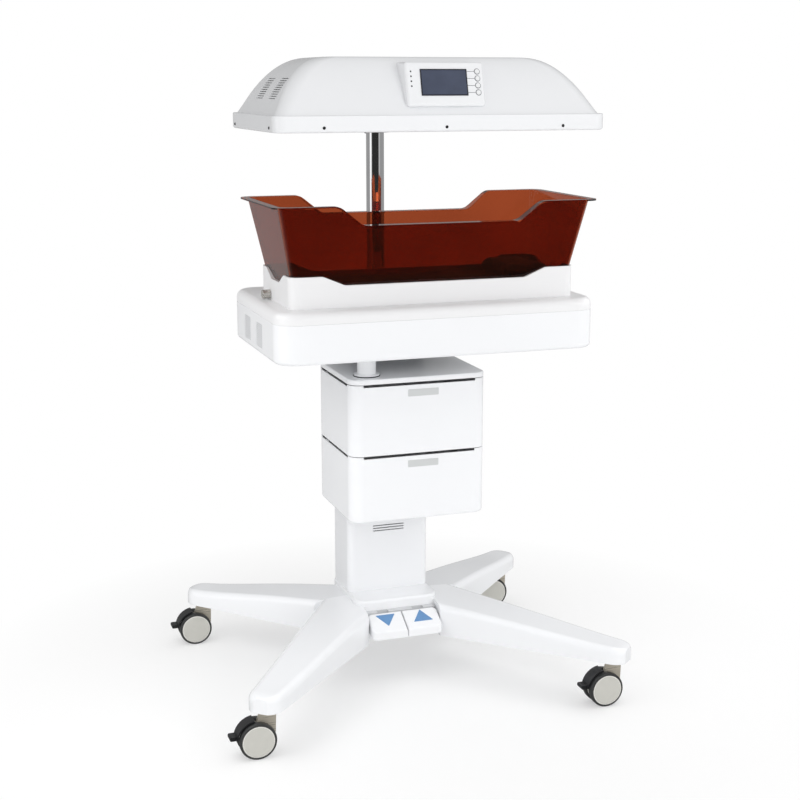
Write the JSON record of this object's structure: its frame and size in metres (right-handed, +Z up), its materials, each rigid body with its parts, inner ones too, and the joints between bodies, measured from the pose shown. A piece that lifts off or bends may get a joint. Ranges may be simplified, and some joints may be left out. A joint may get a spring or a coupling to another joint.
{
  "type": "infant phototherapy bed",
  "caption": "Mobile infant phototherapy bed: light hood on a post above a tinted clear tub, lower light deck, drawer cabinet and lift column on a castor base.",
  "frame": {"origin": "on the floor under the middle of the four castor swivel axes", "axes": "+Z up, -Y to the front where the control panel is, +X to the panel's right"},
  "size_m": [1.1641, 0.9362, 1.795],
  "materials": {
    "white_cover": "glossy white moulded cover",
    "white_paint": "white powder coat",
    "grey_cover": "pale grey satin moulding",
    "guide_plastic": "natural low-friction plastic",
    "motor_grey": "dark grey casing",
    "aluminium": "satin anodised",
    "steel": "brushed",
    "chrome": "polished",
    "nickel": "warm satin nickel plate",
    "amber_acrylic": "clear tinted acrylic, polished",
    "clear_panel": "clear diffusing panel",
    "lamp": "white blue lamp tube",
    "black_plastic": "black moulding",
    "castor_tread": "dark grey tyre with pale hub cap",
    "mattress_cover": "wipe-clean dark navy cover",
    "pillow_cover": "wipe-clean dark navy cover",
    "screen_glass": "dark display window",
    "key_plastic": "white key"
  },
  "bodies": {
    "base": {"base_hub": "white_cover", "leg_front_left": "white_cover", "leg_front_right": "white_cover", "leg_back_left": "white_cover", "leg_back_right": "white_cover", "column_outer": "white_paint", "column_guides": "guide_plastic", "lift_actuator": "motor_grey", "pedal_housing": "guide_plastic", "pedal_pin": "steel"},
    "down_pedal": {"pedal_down": "white_cover"},
    "up_pedal": {"pedal_up": "white_cover"},
    "lift": {"column_inner": "aluminium", "lift_rod": "steel", "deck_carrier": "aluminium", "chrome_post": "chrome", "cabinet_top": "white_cover", "cabinet_frame": "white_paint", "drawer_runners": "steel", "support_post": "white_paint", "deck_lower_shell": "white_cover", "deck_upper_shell": "grey_cover", "deck_window": "clear_panel", "deck_lamps": "lamp", "deck_fan": "motor_grey", "power_inlet": "black_plastic", "cradle_pivots": "steel"},
    "upper_drawer": {"drawer_upper": "white_cover"},
    "lower_drawer": {"drawer_lower": "white_cover"},
    "tilting_cradle": {"cradle": "grey_cover"},
    "cradle_lock": {"lock_knob": "steel"},
    "bassinet": {"tub": "amber_acrylic", "mattress": "mattress_cover", "pillow": "pillow_cover"},
    "height_collar": {"post_collar": "aluminium"},
    "clamp_knob": {"collar_knob": "black_plastic"},
    "hood": {"hood_shell": "white_cover", "hood_pan": "white_cover", "hood_window": "clear_panel", "hood_lamps": "lamp", "hood_screws": "black_plastic", "hood_bracket": "aluminium", "panel_housing": "white_cover", "panel_screen": "screen_glass"},
    "key_1": {"panel_key_1": "key_plastic"},
    "key_2": {"panel_key_2": "key_plastic"},
    "key_3": {"panel_key_3": "key_plastic"},
    "key_4": {"panel_key_4": "key_plastic"},
    "castor_front_left": {"caster_fork_front_left": "nickel"},
    "wheels_front_left": {"caster_wheels_front_left": "castor_tread"},
    "brake_front_left": {"caster_brake_front_left": "black_plastic"},
    "castor_front_right": {"caster_fork_front_right": "nickel"},
    "wheels_front_right": {"caster_wheels_front_right": "castor_tread"},
    "brake_front_right": {"caster_brake_front_right": "black_plastic"},
    "castor_back_left": {"caster_fork_back_left": "nickel"},
    "wheels_back_left": {"caster_wheels_back_left": "castor_tread"},
    "brake_back_left": {"caster_brake_back_left": "black_plastic"},
    "castor_back_right": {"caster_fork_back_right": "nickel"},
    "wheels_back_right": {"caster_wheels_back_right": "castor_tread"},
    "brake_back_right": {"caster_brake_back_right": "black_plastic"}
  },
  "joints": [
    {"name": "column_lift", "type": "slide", "parent": "base", "child": "lift", "axis": [0, 0, 1], "range_m": [-0.18, 0.02]},
    {"name": "pedal_down_press", "type": "hinge", "parent": "base", "child": "down_pedal", "pos_m": [-0.0545, -0.015, 0.175], "axis": [1, 0, 0], "range_deg": [0, 7], "stiffness_Nm_per_rad": 12, "springref_deg": -8.59},
    {"name": "pedal_up_press", "type": "hinge", "parent": "base", "child": "up_pedal", "pos_m": [0.0545, -0.015, 0.175], "axis": [1, 0, 0], "range_deg": [0, 7], "stiffness_Nm_per_rad": 12, "springref_deg": -8.59},
    {"name": "upper_drawer_slide", "type": "slide", "parent": "lift", "child": "upper_drawer", "axis": [0, -1, 0], "range_m": [0, 0.2]},
    {"name": "lower_drawer_slide", "type": "slide", "parent": "lift", "child": "lower_drawer", "axis": [0, -1, 0], "range_m": [0, 0.2]},
    {"name": "cradle_tilt", "type": "hinge", "parent": "lift", "child": "tilting_cradle", "pos_m": [0.40596, -0.163, 1.171], "axis": [0, 1, 0], "range_deg": [0, 6]},
    {"name": "cradle_lock_turn", "type": "hinge", "parent": "tilting_cradle", "child": "cradle_lock", "pos_m": [-0.39, -0.109, 1.176], "axis": [-1, 0, 0], "range_deg": [0, 90]},
    {"name": "tub_lift_out", "type": "slide", "parent": "tilting_cradle", "child": "bassinet", "axis": [0, 0, 1], "range_m": [0, 0.075]},
    {"name": "hood_height", "type": "slide", "parent": "lift", "child": "height_collar", "axis": [0, 0, 1], "range_m": [0, 0.1]},
    {"name": "clamp_turn", "type": "hinge", "parent": "height_collar", "child": "clamp_knob", "pos_m": [0, 0.251, 1.6002], "axis": [0, 1, 0], "range_deg": [0, 270]},
    {"name": "hood_swivel", "type": "hinge", "parent": "height_collar", "child": "hood", "pos_m": [0, 0.205, 1.65], "axis": [0, 0, 1], "range_deg": [-90, 90]},
    {"name": "key_1_press", "type": "slide", "parent": "hood", "child": "key_1", "axis": [0, 0.9659, -0.2588], "range_m": [0, 0.0008], "stiffness_N_per_m": 900, "springref_m": -0.0008},
    {"name": "key_2_press", "type": "slide", "parent": "hood", "child": "key_2", "axis": [0, 0.9659, -0.2588], "range_m": [0, 0.0008], "stiffness_N_per_m": 900, "springref_m": -0.0008},
    {"name": "key_3_press", "type": "slide", "parent": "hood", "child": "key_3", "axis": [0, 0.9659, -0.2588], "range_m": [0, 0.0008], "stiffness_N_per_m": 900, "springref_m": -0.0008},
    {"name": "key_4_press", "type": "slide", "parent": "hood", "child": "key_4", "axis": [0, 0.9659, -0.2588], "range_m": [0, 0.0008], "stiffness_N_per_m": 900, "springref_m": -0.0008},
    {"name": "castor_swivel_front_left", "type": "hinge", "parent": "base", "child": "castor_front_left", "pos_m": [-0.505, -0.419, 0.1], "axis": [0, 0, 1], "continuous": true},
    {"name": "wheel_spin_front_left", "type": "hinge", "parent": "castor_front_left", "child": "wheels_front_left", "pos_m": [-0.537, -0.419, 0.05], "axis": [0, 1, 0], "continuous": true},
    {"name": "brake_press_front_left", "type": "hinge", "parent": "castor_front_left", "child": "brake_front_left", "pos_m": [-0.537, -0.419, 0.05], "axis": [0, -1, 0], "range_deg": [0, 12]},
    {"name": "castor_swivel_front_right", "type": "hinge", "parent": "base", "child": "castor_front_right", "pos_m": [0.505, -0.419, 0.1], "axis": [0, 0, 1], "continuous": true},
    {"name": "wheel_spin_front_right", "type": "hinge", "parent": "castor_front_right", "child": "wheels_front_right", "pos_m": [0.473, -0.419, 0.05], "axis": [0, 1, 0], "continuous": true},
    {"name": "brake_press_front_right", "type": "hinge", "parent": "castor_front_right", "child": "brake_front_right", "pos_m": [0.473, -0.419, 0.05], "axis": [0, -1, 0], "range_deg": [0, 12]},
    {"name": "castor_swivel_back_left", "type": "hinge", "parent": "base", "child": "castor_back_left", "pos_m": [-0.505, 0.419, 0.1], "axis": [0, 0, 1], "continuous": true},
    {"name": "wheel_spin_back_left", "type": "hinge", "parent": "castor_back_left", "child": "wheels_back_left", "pos_m": [-0.537, 0.419, 0.05], "axis": [0, 1, 0], "continuous": true},
    {"name": "brake_press_back_left", "type": "hinge", "parent": "castor_back_left", "child": "brake_back_left", "pos_m": [-0.537, 0.419, 0.05], "axis": [0, -1, 0], "range_deg": [0, 12]},
    {"name": "castor_swivel_back_right", "type": "hinge", "parent": "base", "child": "castor_back_right", "pos_m": [0.505, 0.419, 0.1], "axis": [0, 0, 1], "continuous": true},
    {"name": "wheel_spin_back_right", "type": "hinge", "parent": "castor_back_right", "child": "wheels_back_right", "pos_m": [0.473, 0.419, 0.05], "axis": [0, 1, 0], "continuous": true},
    {"name": "brake_press_back_right", "type": "hinge", "parent": "castor_back_right", "child": "brake_back_right", "pos_m": [0.473, 0.419, 0.05], "axis": [0, -1, 0], "range_deg": [0, 12]}
  ]
}
